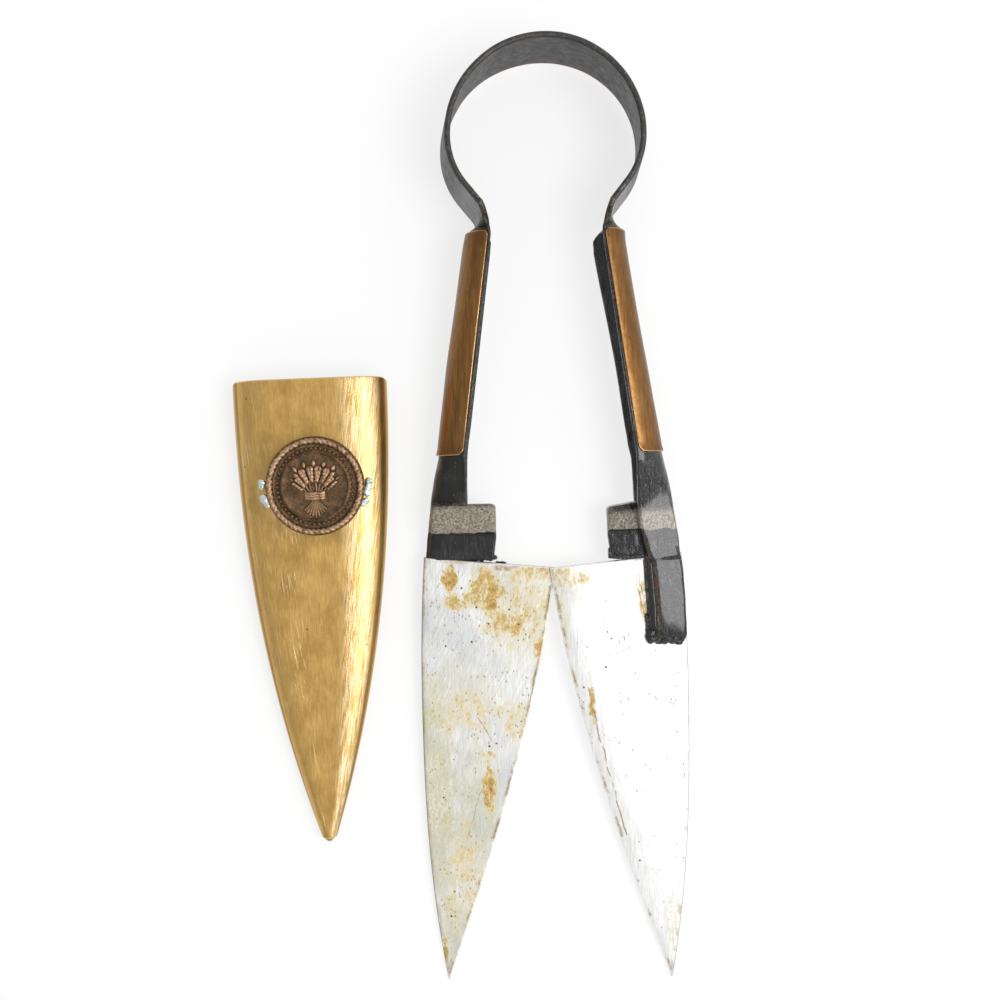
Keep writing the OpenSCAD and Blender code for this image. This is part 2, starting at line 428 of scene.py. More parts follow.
class Finish(Patterns):
    """A material whose patterns are drawn in own-frame millimetres."""

    def __init__(self, name):
        self.material = bpy.data.materials.new(name)
        self.material.use_nodes = True
        super().__init__(self.material.node_tree)
        self.tree.nodes.clear()
        self.bsdf = self.node("ShaderNodeBsdfPrincipled")
        self.node("ShaderNodeOutputMaterial", self.bsdf.outputs[0])
        self.place = self.node("ShaderNodeAttribute", attribute_name="place").outputs["Vector"]
        self.edge = self.node("ShaderNodeAttribute", attribute_name="edge").outputs["Fac"]
        self.x, self.y, self.z = self.node("ShaderNodeSeparateXYZ", self.place).outputs
        self.ragged = {}

    def noise(self, scale, detail=3.0, rough=0.55, stretch=(1, 1, 1), offset=(0, 0, 0), twist=0.0,
              turn=0.0):
        """Noise from 0 to 1 with scale features per mm, turned about Z by some degrees first."""
        start = self.place
        if turn:
            made = self.node("ShaderNodeVectorRotate", rotation_type="Z_AXIS")
            self.feed_named(made, Vector=start, Angle=math.radians(turn))
            start = made.outputs[0]
        made = self.node("ShaderNodeTexNoise")
        self.feed_named(made, Vector=self.stretch(stretch, offset, start), Scale=scale, Detail=detail,
                        Roughness=rough, Distortion=twist)
        return made.outputs["Fac"]

    def stretch(self, scale, offset, start):
        made = self.node("ShaderNodeVectorMath", start, scale, offset, operation="MULTIPLY_ADD")
        return made.outputs[0]

    def cells(self, scale, stretch=(1, 1, 1), offset=(0, 0, 0)):
        """Distance from the nearest of many scattered points, with scale cells per mm."""
        made = self.node("ShaderNodeTexVoronoi")
        self.feed_named(made, Vector=self.stretch(stretch, offset, self.place), Scale=scale)
        return made.outputs["Distance"]

    def window(self, value, low, high, soft_low, soft_high):
        """1 between low and high, falling to 0 outside over each soft distance."""
        rise = self.ramp(value, low - soft_low, low)
        fall = self.ramp(value, high, high + soft_high, 1.0, 0.0)
        return self.times(rise, fall)

    def both(self, *masks):
        return functools.reduce(self.times, masks)

    def either(self, *masks):
        return functools.reduce(lambda a, b: self.math("MAXIMUM", a, b), masks)

    def mix(self, factor, a, b):
        made = self.node("ShaderNodeMix", factor, data_type="RGBA")
        self.feed(made.inputs[6], a)
        self.feed(made.inputs[7], b)
        return made.outputs[2]

    def paint(self, color, mask, strength=None):
        """Lays one more colour over the finish where a mask is, in full or as strong as given."""
        if strength is not None:
            mask = self.times(mask, strength)
        self.color = self.mix(mask, self.color, color)

    def blend_value(self, factor, a, b):
        made = self.node("ShaderNodeMix", factor, data_type="FLOAT")
        self.feed(made.inputs[2], a)
        self.feed(made.inputs[3], b)
        return made.outputs[0]

    def specks(self, per_mm, size, share, offset=(0, 0, 0)):
        """Round dots of about size cells across, kept only where a slow noise is above share."""
        dots = self.ramp(self.cells(per_mm, offset=offset), size, size * 0.5)
        where = self.noise(0.11, 3, 0.6, offset=(offset[1] + 5, offset[0] + 2, 8))
        return self.times(dots, self.ramp(where, share, share + 0.08))

    def spot(self, x, y, rx, ry, ragged=0.5, scale=0.35):
        """A ragged blot round a place, from 1 in its middle to 0."""
        dx = self.over(self.minus(self.x, x), rx)
        dy = self.over(self.minus(self.y, y), ry)
        far = self.plus(self.times(dx, dx), self.times(dy, dy))
        if scale not in self.ragged:
            self.ragged[scale] = self.noise(scale, 4, 0.62, offset=(31, 7, 3))
        push = self.times(self.minus(self.ragged[scale], 0.5), 4 * ragged)
        return self.ramp(self.plus(far, push), -0.1, 1.25, 1.0, 0.0)

    def scratch(self, x0, y0, x1, y1, width):
        """A slightly wavering line from one place to another, 1 along its middle."""
        dx, dy = x1 - x0, y1 - y0
        long = math.hypot(dx, dy)
        x = self.minus(self.x, x0)
        y = self.minus(self.y, y0)
        along = self.plus(self.times(x, dx / long), self.times(y, dy / long))
        off = self.minus(self.times(x, dy / long), self.times(y, dx / long))
        waver = self.ramp(self.noise(0.07, 5, 0.6, offset=(x0, y0, 0)), 0.2, 0.8, -0.9, 0.9)
        off = self.math("ABSOLUTE", self.plus(off, waver))
        broken = self.ramp(self.noise(0.35, 3, offset=(y0, x0, 5)), 0.34, 0.5)
        line = self.ramp(off, width, width * 0.3)
        return self.both(line, self.window(along, 0, long, 2, 2), broken)

    def bump(self, *layers):
        """Layers of (height, depth in mm), each on top of the one before."""
        below = {}
        for height, depth in layers:
            made = self.node("ShaderNodeBump")
            self.feed_named(made, Strength=1.0, Distance=depth * MM, Height=height, **below)
            below = {"Normal": made.outputs[0]}
        self.feed_named(self.bsdf, **below)

    def set(self, rough, metal, **others):
        self.feed_named(self.bsdf, Base_Color=self.color, Roughness=rough, Metallic=metal, **others)
        return self.material


# ---------------------------------------------------------------- finishes
BLACK = (0.0045, 0.0045, 0.005)
SOOT = (0.011, 0.0105, 0.010)
DUST = (0.34, 0.31, 0.26)
RUST = (0.22, 0.075, 0.022)
OXBLOOD = (0.085, 0.020, 0.010)
OCHRE = (0.43, 0.275, 0.062)
PALE_OCHRE = (0.60, 0.48, 0.23)
OLIVE = (0.47, 0.43, 0.19)
BROWN = (0.115, 0.055, 0.020)


def dust_band(f, rough, high, low):
    """A dry band of grey-brown dust between two places along the arm: crisp below, fading above."""
    grit = f.noise(1.2, 6, 0.85)
    uneven = f.plus(f.y, f.ramp(f.noise(0.22, 3), 0.2, 0.8, -0.6, 0.6))
    fade = f.window(uneven, low, high, 0.25, 4.2)
    cover = f.times(fade, f.ramp(f.plus(grit, f.times(fade, 0.30)), 0.42, 0.66))
    powder = f.mix(f.ramp(grit, 0.36, 0.62), (0.060, 0.052, 0.040), (0.33, 0.295, 0.235))
    grains = f.ramp(f.cells(0.9, offset=(2, 2, 2)), 0.24, 0.14)
    powder = f.mix(f.both(grains, f.ramp(f.noise(0.6, 2), 0.5, 0.6)), powder, (0.62, 0.53, 0.38))
    f.paint(powder, cover)
    return f.blend_value(cover, rough, 0.95)


def black_enamel(name, band=None, gloss=0.0, scars=()):
    """Thick black paint over forged steel; band is the (high, low) of a dusty stripe across it."""
    f = Finish(name)
    clouds = f.ramp(f.noise(0.10, 4, 0.6), 0.38, 0.72)
    f.color = f.mix(clouds, BLACK, SOOT)
    grit = f.noise(2.2, 6, 0.8)
    hazy = f.both(f.ramp(grit, 0.46, 0.72), f.ramp(f.noise(0.12, 3, offset=(3, 9, 2)), 0.44, 0.68))
    f.paint(DUST, hazy, 0.24)
    worn = f.both(f.ramp(f.edge, 0.55, 0.15), f.ramp(f.noise(0.5, 4, 0.7), 0.44, 0.60))
    f.paint((0.15, 0.105, 0.065), worn, 0.45)
    f.paint((0.42, 0.38, 0.30), f.specks(0.9, 0.10, 0.52, (9, 4, 1)))
    f.paint(RUST, f.specks(0.45, 0.07, 0.55, (1, 7, 3)))
    for x, y, rx, ry in scars:
        f.paint(OXBLOOD, f.spot(x, y, rx, ry, 0.45, 0.5))
    rough = f.ramp(f.noise(0.3, 4, 0.6, offset=(2, 8, 5)), 0.3, 0.75, 0.32 - gloss, 0.50 - gloss)
    rough = f.blend_value(hazy, rough, 0.75)
    if band:
        rough = dust_band(f, rough, *band)
    strokes = f.noise(0.34, 3, 0.5, stretch=(1.5, 0.45, 1), twist=0.4)
    dents = f.noise(0.15, 3, 0.5, twist=0.5)
    f.bump((dents, 0.45 - gloss), (strokes, 0.22 + 14 * gloss), (grit, 0.03))
    return f.set(rough, 0.0, Specular_IOR_Level=0.28, Coat_Weight=0.15 + 2.4 * gloss,
                 Coat_Roughness=0.11)


def bow_enamel():
    """Thinner satin black on the bow, rusty along its lower rim and wrinkled at the necks."""
    f = Finish("bow_enamel")
    drag = f.noise(0.5, 5, 0.65, stretch=(0.25, 0.25, 1.6))
    f.color = f.mix(f.ramp(drag, 0.3, 0.75), (0.010, 0.010, 0.010), (0.020, 0.0195, 0.0185))
    dust = f.ramp(f.noise(2.4, 5, 0.75), 0.52, 0.8)
    f.paint(DUST, dust, 0.22)
    low_rim = f.both(f.ramp(f.z, -13.6, -14.4), f.ramp(f.y, 4.0, 16.0),
                     f.ramp(f.noise(0.3, 3, 0.6), 0.34, 0.46))
    f.paint((0.34, 0.075, 0.022), low_rim, 0.9)
    f.paint((0.60, 0.57, 0.50), f.specks(0.8, 0.12, 0.54))
    worn = f.both(f.ramp(f.edge, 0.6, 0.2), f.ramp(f.noise(0.6, 3), 0.48, 0.62))
    f.paint((0.12, 0.085, 0.055), worn, 0.30)
    line = f.minus(f.z, f.plus(f.times(f.x, 0.34), -5.6))
    line = f.plus(line, f.ramp(f.noise(0.25, 3), 0.2, 0.8, -1.6, 1.6))
    crease = f.both(f.window(line, -0.10, 0.10, 0.12, 0.12), f.window(f.x, -25, -5, 3, 3),
                    f.ramp(f.y, 0, 6))
    f.paint((0.10, 0.085, 0.07), crease, 0.7)
    neck = f.ramp(f.y, -12.0, -20.0)
    rough = f.ramp(f.noise(0.35, 4, 0.6), 0.3, 0.7, 0.40, 0.56)
    rough = f.blend_value(neck, rough, 0.27)
    wrinkles = f.both(f.noise(0.38, 3, 0.5, twist=1.0), neck)
    f.bump((f.noise(0.10, 2, 0.5), 0.35), (wrinkles, 0.9), (crease, -0.2),
           (f.noise(1.8, 4, 0.7), 0.025))
    return f.set(rough, 0.0, Specular_IOR_Level=0.5)


def grip_copper():
    """Thin copper-bronze sheet gone brown, worn bright where the hand holds it, with a painted
    highlight along its borders.
    """
    f = Finish("grip_copper")
    streak = f.noise(0.9, 5, 0.6, stretch=(1.6, 0.05, 1.6))
    f.color = f.mix(f.ramp(streak, 0.25, 0.8), (0.155, 0.074, 0.025), (0.30, 0.152, 0.052))
    brown = f.ramp(f.noise(0.09, 4, 0.62, stretch=(1, 0.5, 1)), 0.40, 0.70)
    f.paint((0.14, 0.068, 0.026), brown, 0.55)
    ends = f.either(f.ramp(f.y, -38.0, -32.0), f.ramp(f.y, -102.0, -109.0))
    f.paint((0.11, 0.055, 0.022), ends, 0.45)
    f.paint((0.06, 0.03, 0.015), f.specks(0.30, 0.12, 0.45), 0.8)
    scratches = f.ramp(f.noise(1.5, 4, 0.6, stretch=(2.0, 0.12, 1), turn=14), 0.62, 0.72)
    f.paint((0.50, 0.31, 0.14), scratches, 0.45)
    # painted highlight: a bright orange line along the sleeve's borders
    f.paint((0.50, 0.30, 0.13), f.ramp(f.edge, 0.55, 0.15))
    rough = f.ramp(streak, 0.3, 0.7, 0.30, 0.44)
    f.bump((f.noise(0.12, 3, 0.5), 0.3), (streak, 0.02))
    return f.set(rough, 1.0)


def blade_steel(name, stains, hazes, lines, tone, dirt):
    """Painted steel brushed silver-white, with ochre stains, crusty flecks and dark pits.
    Stains and hazes are (x, y, rx, ry, strength) in the arm's frame, lines (x, y, x, y, width)."""
    f = Finish(name)
    strokes = f.noise(1.3, 6, 0.66, stretch=(1.4, 0.09, 1.0), twist=0.3)
    sweeps = f.noise(0.55, 5, 0.62, stretch=(1.6, 0.22, 1.0), turn=-28)
    clouds = f.noise(0.05, 4, 0.6)
    dark = tuple(c * 0.80 for c in tone)
    f.color = f.mix(f.ramp(strokes, 0.30, 0.66), dark, tone)
    f.paint(tuple(c * 0.72 for c in tone), f.ramp(sweeps, 0.36, 0.62, 0.30 * dirt, 0.0))
    f.paint((0.42, 0.435, 0.44), f.ramp(clouds, 0.40, 0.66, 0.0, 0.55 * dirt))
    grit = f.noise(1.1, 6, 0.75, stretch=(1, 0.7, 1), offset=(5, 5, 5))
    for x, y, rx, ry, strength in hazes:
        haze = f.both(f.spot(x, y, rx, ry, 0.55, 0.16), f.ramp(grit, 0.38, 0.62, 0.25, 1.0))
        f.paint(OLIVE, haze, strength)
    blots = 0.0
    for x, y, rx, ry, strength in stains:
        blots = f.math("MAXIMUM", f.times(f.spot(x, y, rx, ry, 0.75, 0.22), strength), blots)
    runs = f.noise(0.42, 5, 0.68, stretch=(1, 0.45, 1), offset=(2, 9, 4))
    soak = f.both(blots, f.ramp(runs, 0.34, 0.60, 0.40, 1.5), f.ramp(grit, 0.34, 0.60, 0.6, 1.3))
    f.paint(PALE_OCHRE, f.ramp(soak, 0.0, 0.75, 0.0, 0.80))
    f.paint(OCHRE, f.ramp(soak, 0.38, 1.15, 0.0, 0.90))
    f.paint(BROWN, f.ramp(soak, 1.25, 1.8, 0.0, 0.55))
    scored = 0.0
    for line in lines:
        scored = f.math("MAXIMUM", f.scratch(*line), scored)
    f.paint((0.30, 0.17, 0.05), scored, 0.8)
    crumbs = f.cells(0.62, stretch=(1.25, 0.75, 1), offset=(2, 6, 1))
    crumb_at = f.plus(f.noise(0.13, 4, 0.65, offset=(6, 1, 4)), f.times(blots, 0.13))
    crumbs = f.both(f.ramp(crumbs, 0.24, 0.12),
                    f.ramp(crumb_at, 0.58 - 0.09 * dirt, 0.63 - 0.09 * dirt))
    f.paint((0.42, 0.30, 0.11), crumbs, 0.85)
    pits = f.specks(0.23, 0.12, 0.55 - 0.10 * dirt, (3, 1, 0))
    fine = f.specks(0.75, 0.10, 0.60 - 0.08 * dirt, (8, 3, 2))
    f.paint((0.075, 0.038, 0.018), f.either(pits, fine))
    middle = f.plus(f.times(f.minus(HEEL_Y, f.y), 0.125), 22.0)
    cutting = f.ramp(f.minus(middle, f.x), -1.0, 1.0)
    scab = f.ramp(f.noise(0.10, 6, 0.72, offset=(1, 2, 9)), 0.50 - 0.06 * dirt, 0.60)
    crust = f.both(f.ramp(f.edge, 1.9, 0.7), scab, f.blend_value(cutting, 0.55, 1.0))
    f.paint(f.mix(f.ramp(grit, 0.42, 0.6), BROWN, OCHRE), crust, 0.8)
    line = f.both(f.ramp(f.edge, 0.34, 0.14), f.blend_value(cutting, 1.0, 0.0))
    f.paint((0.10, 0.085, 0.07), line, 0.75)
    # a bright line along the cutting edge: bare sharpened steel, and partly a painted edge highlight
    honed_and_glint = f.both(f.ramp(f.edge, 0.60, 0.45), cutting)
    f.paint((0.88, 0.88, 0.87), honed_and_glint, 0.55)
    dirty = f.either(f.times(soak, 0.8), crumbs, pits, f.times(crust, 0.9))
    rough = f.blend_value(dirty, f.ramp(strokes, 0.3, 0.7, 0.34, 0.50), 0.85)
    raised = f.either(crumbs, f.times(crust, 0.7))
    f.bump((clouds, 0.3), (sweeps, 0.02 + 0.12 * dirt), (strokes, 0.05), (raised, 0.16),
           (f.times(pits, -1.0), 0.10))
    return f.set(rough, f.blend_value(dirty, 0.40, 0.0))


def sheath_brass():
    """Old brushed brass, browner down its middle, worn bright in strokes towards its left side, with
    a painted highlight band down its right side and a painted highlight along its borders.
    """
    f = Finish("sheath_brass")
    down = f.over(f.times(f.y, -1.0), SHEATH_END)
    width = f.minus(1.0, f.math("POWER", f.math("MAXIMUM", down, 0.0), 2.2))
    across = f.over(f.x, f.math("MAXIMUM", f.times(width, SHEATH_HALF_W), 2.0))
    brush = f.noise(1.5, 6, 0.66, stretch=(1.5, 0.07, 1.5), twist=0.3)
    f.color = f.mix(f.ramp(brush, 0.28, 0.75), (0.53, 0.325, 0.098), (0.70, 0.455, 0.155))
    mottle = f.noise(0.10, 6, 0.66, stretch=(1, 0.7, 1))
    middle = f.window(across, -0.45, 0.40, 0.35, 0.25)
    patina = f.both(f.ramp(mottle, 0.34, 0.66), f.blend_value(middle, 0.25, 1.0))
    f.paint((0.29, 0.165, 0.046), patina, 0.62)
    halo = f.spot(0, -BADGE_FROM_MOUTH, 25, 23, 0.4, 0.2)
    f.paint((0.19, 0.125, 0.05), halo, 0.55)
    bundles = f.ramp(f.noise(0.07, 3, 0.6, offset=(7, 3, 1)), 0.42, 0.60)
    left_strokes = f.ramp(f.noise(1.1, 5, 0.6, stretch=(1.9, 0.06, 1), turn=-7), 0.55, 0.68)
    left_strokes = f.both(left_strokes, bundles, f.window(across, -0.92, -0.35, 0.1, 0.25))
    # painted highlight: a whitish streaky band down the right side of the front
    right_highlight_band = f.ramp(f.noise(1.1, 5, 0.6, stretch=(1.9, 0.09, 1), turn=9), 0.42, 0.62)
    right_highlight_band = f.both(right_highlight_band, f.window(across, 0.60, 0.86, 0.30, 0.07))
    # worn strokes on the left, and the painted highlight band on the right
    worn_strokes_and_highlight = f.either(f.times(left_strokes, 0.7), right_highlight_band)
    f.paint((0.93, 0.81, 0.58), worn_strokes_and_highlight, 0.62)
    # painted shade: a dark line just inside each side, where the front turns down
    side_shade = f.either(f.window(across, -0.955, -0.925, 0.015, 0.02),
                    f.window(across, 0.925, 0.965, 0.02, 0.02))
    f.paint((0.16, 0.085, 0.026), side_shade, 0.6)
    spots = f.either(f.specks(0.20, 0.085, 0.50), f.specks(0.55, 0.09, 0.50, (4, 4, 4)))
    f.paint((0.07, 0.04, 0.018), spots, 0.85)
    # painted highlight: a lighter line along the mouth's lip and along the sides
    f.paint((0.80, 0.60, 0.30), f.ramp(f.edge, 0.7, 0.2), 0.6)
    dull = f.times(f.either(patina, worn_strokes_and_highlight), 0.14)
    rough = f.plus(f.ramp(brush, 0.3, 0.7, 0.30, 0.42), dull)
    f.bump((f.noise(0.05, 2, 0.4), 0.6), (f.noise(0.25, 3, 0.5), 0.06), (brush, 0.03), (worn_strokes_and_highlight, 0.03))
    return f.set(rough, 1.0)


def badge_bronze():
    """Dark cast bronze, coppery where raised edges are worn, and partly a painted highlight on the
    relief.
    """
    f = Finish("badge_bronze")
    grain = f.noise(1.5, 5, 0.7)
    f.color = f.mix(f.ramp(grain, 0.3, 0.7), (0.080, 0.046, 0.023), (0.20, 0.118, 0.060))
    # coppery raised parts: wear, and partly a painted highlight on the relief
    high = f.both(f.ramp(f.z, 1.9, 2.6), f.ramp(f.noise(0.5, 4, 0.6), 0.32, 0.56))
    f.paint((0.52, 0.33, 0.20), high, 0.8)
    grime = f.both(f.ramp(f.z, 1.75, 1.35), f.ramp(f.noise(0.3, 4, 0.6), 0.4, 0.6))
    f.paint((0.035, 0.026, 0.016), grime, 0.55)
    rough = f.ramp(grain, 0.3, 0.7, 0.32, 0.56)
    f.bump((f.noise(0.9, 5, 0.7), 0.25))
    return f.set(rough, 0.9)


def old_solder():
    """Grey solder with green verdigris."""
    f = Finish("old_solder")
    green = f.ramp(f.noise(0.6, 4, 0.6), 0.50, 0.64)
    f.color = f.mix(green, (0.66, 0.67, 0.66), (0.17, 0.36, 0.27))
    rough = f.blend_value(green, 0.28, 0.85)
    f.bump((f.noise(1.2, 4, 0.6), 0.2))
    return f.set(rough, f.blend_value(green, 1.0, 0.0))


def floor_paper():
    """White paper lit from behind as well as from above, so shadows on it stay pale."""
    f = Finish("floor_paper")
    tooth = f.noise(0.4, 4, 0.6)
    f.color = f.mix(tooth, (0.205, 0.205, 0.207), (0.215, 0.215, 0.215))
    f.bump((tooth, 0.02))
    return f.set(0.9, 0.0, Specular_IOR_Level=0.05, Emission_Color=(1, 1, 1),
                 Emission_Strength=FLOOR_GLOW)


# ---------------------------------------------------------------- bow
def strap_run(t):
    """Outer point and outward normal of the strap's right half at t mm from the crown, in plan."""
    crown = BOW_R * math.pi / 2
    side = SIDE_R * math.radians(NECK_TURN)
    if t <= crown:
        a = math.pi / 2 - t / BOW_R
        n = Vector((math.cos(a), math.sin(a), 0))
        return n * BOW_R, n
    centre = Vector((BOW_R - SIDE_R, 0, 0))
    a = -min(t - crown, side) / SIDE_R
    n = Vector((math.cos(a), math.sin(a), 0))
    p = centre + n * SIDE_R
    if t > crown + side:
        p += Vector((n.y, -n.x, 0)) * (t - crown - side)
    return p, n


STRAP_LEN = BOW_R * math.pi / 2 + SIDE_R * math.radians(NECK_TURN) + STRAP_RUN


def bow_half(side, material):
    """Half of the bow's strap, from the crown to its shank."""
    flip = 1 if side == "right" else -1
    grid = []
    for t in steps(0, STRAP_LEN, 92):
        p, n = strap_run(t)
        fade = ease(t, STRAP_LEN - 4, STRAP_LEN * 0.62)
        row = []
        for z in steps(STRAP_W / 2, -STRAP_W / 2, 20):
            flare = RIM_FLARE[side] * (0.5 - z / STRAP_W) * ease(t, 0, BOW_R * 1.5)
            a = p + n * flare
            a.z = z * (1 + 0.006 * fade * wobble((t, z, 0), 16, 2 + flip))
            a += n * fade * ease(t, 0, 6) * 0.09 * wobble((t, z, 3), 7, 5 + flip)
            b = a - n * STRAP_T
            row.append((Vector((a.x * flip, a.y, a.z)), Vector((b.x * flip, b.y, b.z))))
        grid.append(row)
    obj = sheet("bow_" + side, grid, RIGHT, (True, True, False, False))
    hand_in(obj, material, "bow_spring" if side == "right" else None)
    end, _ = strap_run(STRAP_LEN - 7)
    end = RIGHT @ Vector((end.x * flip, end.y, 0))
    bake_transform(obj)


# ---------------------------------------------------------------- shanks
def strap_end():
    p, n = strap_run(STRAP_LEN)
    return p - n * STRAP_T


def handle_depth(side, s):
    """How deep the half-round is, s mm below its top: the curl opens towards the bow."""
    return HANDLE_R - monotone(HANDLE_AT, HANDLE_OPEN[side])(s)


def shank_table(side):
    """Stations down the shank: x, y, turn-in, depth, half height, wall, middle z, roundness,
    hollow, then the ridge's angle above and below, the facets' flatness, and the flank's lean."""
    lean = math.radians(HANDLE_LEAN)
    sx, sy = math.sin(lean), math.cos(lean)
    x, y = HANDLE_TOP
    end = (x + HANDLE_LEN * sx, y - HANDLE_LEN * sy)
    first = strap_end()
    r, w, t = HANDLE_R, HANDLE_WALL, STRAP_T
    z = TANG_Z
    return [
        (first.x, first.y, NECK_TURN, t, STRAP_W / 2, t, 0, 1, 1, 55, 55, 0, 0),
        (20.9, -23.6, 33, 2.5, 15.2, t, 0, 1, 1, 55, 55, 0, 0),
        (20.2, -25.8, 26, 3.2, 14.4, t, 0, 1, 1, 55, 55, 0, 0),
        (19.4, -28.6, 8, 5.4, 12.0, 2, 0, 1, 1, 55, 55, 0, 0),
        (19.1, -30.6, -4, 7.2, 10.1, 1.8, 0, 1, 1, 55, 55, 0, 0),
        *[(x + s * sx, y - s * sy, -HANDLE_LEAN, handle_depth(side, s), r, w, 0, 1, 1, 55, 55, 0, 0)
          for s in (0, 4, 14, 25, 38, 50, 64)],
        (*end, -HANDLE_LEAN, r, r, w, 0, 1, 1, 55, 55, 0.15, 0),
        (29.8, -112.5, -5, 10.5, 9.9, 1.9, 0.2, 0.95, 0.95, 50, 56, 0.8, 0),
        (29.9, -117.8, -3, 11.6, 9.2, 2.4, 0.6, 0.9, 0.85, 40, 50, 1, 0),
        (30, -125.8, 0, 13, 7.3, 3, 1.2, 0.8, 0.5, 32, 36, 1, 0),
        (30.5, -133.8, -4, 13.4, 5, 3, 2.3, 0.6, 0.15, 26, 26, 1, 0),
        (31.3, -140.8, -6, 13.5, 3.3, 2, 3.7, 0.45, 0, 22, 22, 0.8, 1.2),
        (31.6, -146.4, -6, 13.7, 3.1, 2, 3.8, 0.45, 0, 22, 22, 0.6, 3.0),
        (31.8, -148.4, -6, 13.9, 2.3, 1.4, z + 2.3, 0.45, 0, 22, 22, 0.5, 4.0),
        (32.6, -161.8, -4, 14.2, 2.1, 1.3, z + 2.1, 0.45, 0, 22, 22, 0.5, 4.3),
        (33.8, -174.4, -3, 13.5, 1.6, 1, z + 1.6, 0.5, 0, 22, 22, 0.5, 3.6),
        (35, TANG_END, 0, 11.6, 1, 0.6, z + 1, 0.6, 0, 22, 22, 0.5, 2.0)]


def arc_section(depth, half, wall, angles):
    """A strip of metal curled through less than half a turn: (outer, inner) pairs."""
    turn = 2 * math.atan(depth / half)
    for _ in range(4):
        sag = max(0.02, depth - wall * math.cos(turn))
        turn = 2 * math.atan(sag / half)
    radius = (half * half + sag * sag) / (2 * sag)
    pairs = []
    for share in angles:
        n = Vector((math.cos(turn * share), 0, math.sin(turn * share)))
        a = Vector((depth - radius, 0, 0)) + n * radius
        pairs.append((a, a - n * wall))
    return pairs


def forged_section(st, shares):
    """The half-round as it is hammered flat and solid: (outer, inner) pairs."""
    _, _, _, depth, half, wall, _, power, hollow, up, down, flat, lean = st
    pairs = []
    for share in shares:
        a = math.radians(90 * share)
        ridge = math.radians(up if share > 0 else down)
        sign = 1 if share > 0 else -1

        def on_curve(angle):
            return Vector((depth * max(0, math.cos(angle)) ** power, 0,
                           half * sign * math.sin(angle) ** power))

        mag = abs(a)
        outer = on_curve(mag)
        if mag > ridge:
            top, corner = on_curve(math.pi / 2), on_curve(ridge)
            run = (math.pi / 2 - mag) / (math.pi / 2 - ridge)
            outer = outer.lerp(top.lerp(corner, run), flat)
        inner = Vector((max((depth - wall) * hollow, 0.25) * math.cos(mag), 0,
                        (half - wall) * sign * math.sin(mag)))
        outer.x += lean * (outer.z / half + 1) / 2 * (1 - clamp(outer.x / depth))
        inner.x += lean * (inner.z / half + 1) / 2
        if share > 0 and lean:
            run = clamp((outer.x - lean) / (depth - lean))
            outer.z -= half * 0.62 * (lean / 4) * run ** 1.25 * clamp(outer.z / half)
        pairs.append((outer, inner))
    return pairs


def ridge_shares(up, down, n=7):
    """Shares of a quarter turn, from 1 at the top lip to -1 at the lower one, one on each ridge."""
    u, d = up / 90, down / 90
    return steps(1, u, n) + steps(u, 0, n)[1:] + steps(0, -d, n)[1:] + steps(-d, -1, n)[1:]


def shank(side, material):
    table = shank_table(side)
    below = -1 if side == "right" else 1
    run = [0.0]
    for a, b in zip(table, table[1:]):
        run.append(run[-1] + math.dist(a[:2], b[:2]))
    columns = [monotone(run, [st[k] for st in table]) for k in range(len(table[0]))]
    seed = 3.0 if side == "right" else 8.0
    grid = []
    for t in steps(0, run[-1], 210):
        st = [c(t) for c in columns]
        x, y, turn, depth, half, wall, mid = st[:7]
        shares = ridge_shares(st[9], st[10])
        curled = arc_section(depth, half, wall, shares)
        forged = forged_section(st, shares)
        share = ease(y, -34, -37)
        h = math.radians(turn)
        out = Vector((math.cos(h), -math.sin(h), 0))
        drawn = ease(y, -28, -34) * ease(y, -112, -106) if side == "right" else 0
        drawn *= lerp(0.7, 2.6, ease(y, -84, -32))
        flared = RIM_FLARE[side] * ease(y, -33, -27)
        rows = []
        for (a, b), (c, d) in zip(curled, forged):
            pair = []
            for p in (a.lerp(c, share), b.lerp(d, share)):
                reach = flared * (0.5 + 0.5 * below * p.z / half) - drawn * clamp(-p.z / half) ** 2
                q = Vector((x, y, mid + p.z)) + out * (p.x + reach)
                lump = ease(y, -22, -26) * ease(y, -36, -32) + ease(y, -110, -116)
                q += out * lump * 0.16 * wobble((q.x, q.y * 0.7, q.z), 3.1, seed)
                pair.append(q)
            rows.append(tuple(pair))
        grid.append(rows)
    obj = sheet(side + "_handle_channel", grid, ARMS[side], (True, True, False, False), angle=30)
    hand_in(obj, material, side + "_shank", side + "_arm")


# ---------------------------------------------------------------- grip sleeves
def grip(side, material):
    """A thin half-round sleeve with rounded corners; its ends are cut a little askew."""
    inner_r = HANDLE_R + GRIP_GAP
    lean = math.radians(HANDLE_LEAN)
    widest = math.acos(1.2 / inner_r)
    askew = math.tan(math.radians(GRIP_ASKEW))
    grid = []
    for k in steps(0, 1, 64):
        row = []
        for a in steps(widest, -widest, 26):
            cut = corner_cut(GRIP_CORNER, (widest - abs(a)) * inner_r)
            skew = askew * inner_r * math.cos(a)
            start = cut + skew * 0.7 - 1.4
            end = GRIP_LEN - cut + skew - 1.2
            s = lerp(start, end, k)
            flare = 0.22 * ease(s, end - 2.2, end) + 0.06 * wobble((a * 9, s, 1), 14, 4)
            axis = Vector((HANDLE_TOP[0] + math.sin(lean) * s, HANDLE_TOP[1] - math.cos(lean) * s, 0))
            out = Vector((math.cos(lean), math.sin(lean), 0))
            deep = handle_depth(side, s) + GRIP_GAP
            under = axis + out * math.cos(a) * deep + Vector((0, 0, math.sin(a) * inner_r))
            n = (out * math.cos(a) * inner_r + Vector((0, 0, math.sin(a) * deep))).normalized()
            row.append((under + n * (GRIP_T + flare), under + n * max(0, flare) * 0.6))
        grid.append(row)
    obj = sheet(side + "_sleeve", grid, ARMS[side])
    hand_in(obj, material, side + "_grip", side + "_arm")


